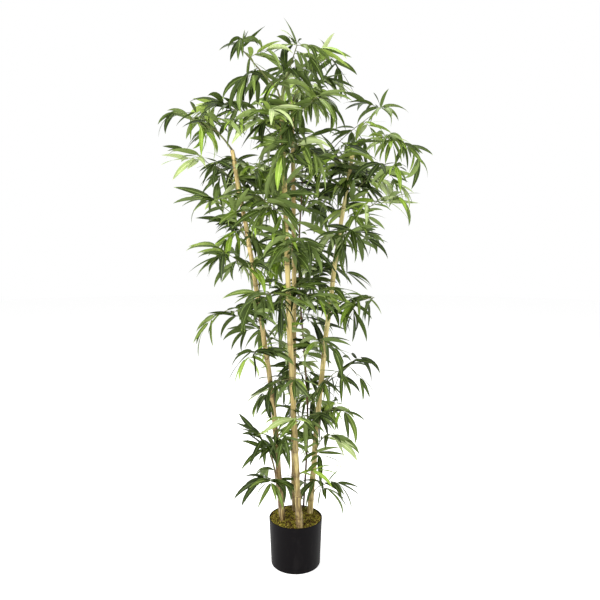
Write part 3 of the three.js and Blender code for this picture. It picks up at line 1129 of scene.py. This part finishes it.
def growMass(nodeName, index):
    rng = random.Random(sprayRule["seed"] + 31 * index)
    corners = cornersOf(nodeName)
    top = corners[corners[:, 2].argmax()]
    reach = np.linalg.norm(corners[:, :2] - top[:2], axis=1).max()
    upright = uprightLeaves.get(nodeName, 0)
    end = "Top" if upright else ""  # the masses with upright leaves have rules of their own
    hub = top - np.array([0, 0, reach * sprayRule["hubBelow" + end]])
    path = mainTwig(nodeName, hub, rng)
    isLow = hub[2] < sprayRule["lowBelow"]
    # low masses get more dark leaves: painted shade
    shade = sprayRule["lowShade"] if isLow else 1.0
    isBack = hub[1] > sprayRule["backFrom"]
    most = sprayRule["lobesBack" if isBack else "lobesLow" if isLow else "lobes"]
    lobes = lobesOf(corners, hub, most)
    ceiling = top[2] + sprayRule["headroom" + end]
    turn = sprayRule["lobeTurn"]
    for k, (angle, size) in enumerate(lobes):
        kind = sprayKind(rng, shade)
        share = 1.0
        if k >= 2:  # the two longest grow from the hub, the others along the main twig
            along = (k - 2 + rng.random()) / (len(lobes) - 2)
            share = sprayRule["lobeFrom"] + sprayRule["lobeOver"] * along
        start = path[int(round(share * (len(path) - 1)))]
        length = sprayRule["sideShare"] * size * rng.uniform(*sprayRule["lobeLength"])
        pitch = anyAngle(rng, sprayRule["lobePitch" + end])
        leaves = rng.randint(*sprayRule["leavesLow" if isLow else "leavesEach"])
        addSpray(rng, start, angle + rng.uniform(-turn, turn), pitch, length, leaves, kind, ceiling)
    aside = uprightShape["spread"]
    for _ in range(upright):
        azimuth = math.radians(rng.choice((-90, 90)) + rng.uniform(-aside, aside))
        kind = sprayKind(rng)
        pitch = anyAngle(rng, uprightShape["pitch"])
        addLeaf(rng, kind, hub, azimuth, pitch, uprightShape["size"], uprightShape["bend"])


def growInner(name, index):
    # small sprays along a cane, between the masses
    rng = random.Random(sprayRule["seed"] + 977 * (index + 1))
    places = [place for place in canes[name]["nodes"] if place[2] > sprayRule["innerAbove"]]
    places += [place for place in places if place[2] > sprayRule["twiceAbove"]]
    for place in places:
        if rng.random() > sprayRule["innerChance"]:
            continue
        # sprays close to a cane get more dark leaves: painted shade
        kind = sprayKind(rng, sprayRule["innerShade"])
        azimuth = rng.uniform(0, math.tau)
        length = rng.uniform(*sprayRule["innerLength"]) * millimetre
        pitch = anyAngle(rng, sprayRule["innerPitch"])
        leaves = rng.randint(*sprayRule["innerLeaves"])
        addSpray(rng, place, azimuth, pitch, length, leaves, kind)


def column(rows, label):
    return np.array([row[label] for row in rows])[:, None]


def leafMesh(rows):
    # every leaf of one kind at once: centre lines, then the points across them
    along = np.array(leafShape["stations"])
    angle = column(rows, "pitch") - column(rows, "bend") * along ** leafShape["bendPower"]
    azimuth = column(rows, "azimuth") + column(rows, "turn") * along
    flat = np.cos(angle)
    ahead = np.stack([flat * np.cos(azimuth), flat * np.sin(azimuth), np.sin(angle)], -1)
    spans = (np.diff(along) * column(rows, "length"))[:, :, None]
    steps = (ahead[:, 1:] + ahead[:, :-1]) / 2 * spans
    places = np.array([row["place"] for row in rows])[:, None]
    centre = np.concatenate([places, places + np.cumsum(steps, 1)], 1)
    sideways = np.stack([-np.sin(azimuth), np.cos(azimuth), np.zeros_like(azimuth)], -1)
    upward = np.cross(ahead, sideways)
    roll = (column(rows, "roll") + column(rows, "twist") * along)[:, :, None]
    right = sideways * np.cos(roll) + upward * np.sin(roll)
    facing = upward * np.cos(roll) - sideways * np.sin(roll)
    broad = column(rows, "length") * column(rows, "slimness") / 2
    least = np.where(along < 0.5, leafShape["stalk"], leafShape["tip"])
    half = np.maximum(broad * widthProfile(along), least)
    across = np.array(leafShape["across"])
    aside = across * np.cos(column(rows, "fold"))
    rise = np.sin(column(rows, "fold")) * (np.abs(across) - leafShape["ribSink"] * across ** 2)
    shift = right[:, :, None] * aside[:, None, :, None] + facing[:, :, None] * rise[:, None, :, None]
    points = centre[:, :, None] + half[:, :, None, None] * shift
    return fitted(points, places[:, :, None])


def fitted(points, places):
    # a leaf that would leave the plant's own room is drawn in towards its foot
    low = np.array(cadBox[0]) - sprayRule["boxMargin"]
    high = np.array(cadBox[1]) + sprayRule["boxMargin"]
    reach = points - places
    wall = np.where(reach > 0, high, low) - places
    with np.errstate(divide="ignore", invalid="ignore"):
        room = np.where(reach == 0, np.inf, wall / reach)
    scale = np.clip(room.min(axis=(1, 2, 3), keepdims=True), sprayRule["leastLeaf"], 1.0)
    return places + reach * scale


def makeLeaves():
    stations, columns = len(leafShape["stations"]), len(leafShape["across"])
    k, j = np.meshgrid(np.arange(stations - 1), np.arange(columns - 1), indexing="ij")
    corner = (k * columns + j).ravel()[:, None]
    quads = corner + (0, columns, columns + 1, 1)
    ribStrip = (columns - 1) // 2
    paleFrom = leafShape["stations"].index(leafShape["paleEnd"])
    ribFaces = ((j == ribStrip) | (k >= paleFrom)).ravel().astype(int)
    total = 0
    for kind, rows in leafRows.items():
        vertices = leafMesh(rows).reshape(-1, 3)
        starts = np.arange(len(rows))[:, None, None] * stations * columns
        faces = (starts + quads).reshape(-1, 4)
        upper, under, rib, _ = leafKinds[kind]
        blade = leafMaterial("leaf_" + kind, upper, under, 0.46)
        midrib = leafMaterial("rib_" + kind, rib, under, 0.5)
        slots = np.tile(ribFaces, len(rows))
        values = {"across": np.tile(leafShape["across"], stations * len(rows))}
        looks = [blade, midrib]
        piece = makePiece("leaves_" + kind, vertices.tolist(), faces.tolist(), looks, slots, values)
        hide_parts(*[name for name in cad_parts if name.startswith("foliage_")])
        total += len(faces) * 2
        print("leaves:", kind, len(rows))
    print("leaf triangles:", total)


massNames = sorted(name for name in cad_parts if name.startswith("foliage_"))
for index, name in enumerate(massNames):
    growMass(name, index)
for index, name in enumerate(canes):
    growInner(name, index)
makeLeaves()

twigLook = mottled(
    "twigPlastic", 0.55, 0.4, paint(112, 122, 60), paint(78, 72, 40),
    ((1, 1, 1), 30.0, 0.5, 0.15), (0.4, 0.0004, 1500.0, 300.0),
)
twigs = makePiece("twigs", twigHeap["vertices"], twigHeap["faces"], [twigLook])
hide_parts(*massNames)
boughs = makePiece("boughs", boughHeap["vertices"], boughHeap["faces"], [twigLook])
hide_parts(*[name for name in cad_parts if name.startswith("bough_")])
print("foliage ready:", len(massNames), "masses")
